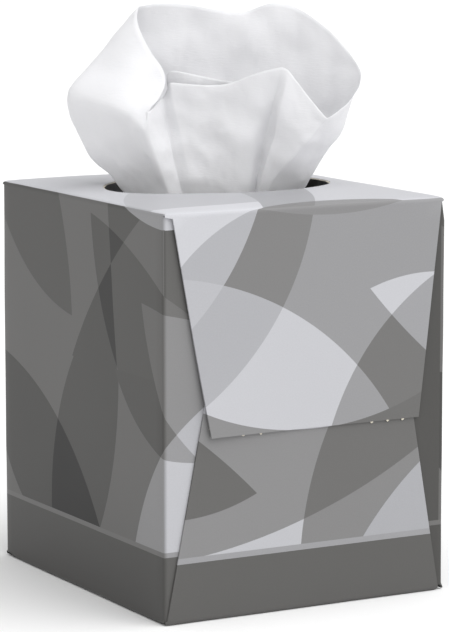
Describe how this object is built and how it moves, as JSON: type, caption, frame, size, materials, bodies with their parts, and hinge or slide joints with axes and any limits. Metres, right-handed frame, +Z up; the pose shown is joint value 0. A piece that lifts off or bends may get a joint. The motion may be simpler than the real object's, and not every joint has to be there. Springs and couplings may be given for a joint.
{
  "type": "tissue box",
  "caption": "Cube-shaped folded paperboard tissue box with glued end flaps, an oval opening torn in the top panel and a white tissue standing out of it.",
  "frame": {"origin": "middle of the underside", "axes": "+Z up through the opening, -Y out of the front end flaps, +X to the right along the front"},
  "size_m": [0.098, 0.113, 0.181],
  "materials": {
    "printed_board": "satin printed and coated paperboard",
    "glue": "dried adhesive",
    "tissue_clip": "soft white tissue paper",
    "tissue": "soft white tissue paper"
  },
  "bodies": {
    "root": {"carton": "printed_board", "seam_glue": "glue", "front_glue": "glue", "back_glue": "glue", "tissue_stack": "tissue_clip", "popup_tissue": "tissue"}
  },
  "joints": []
}
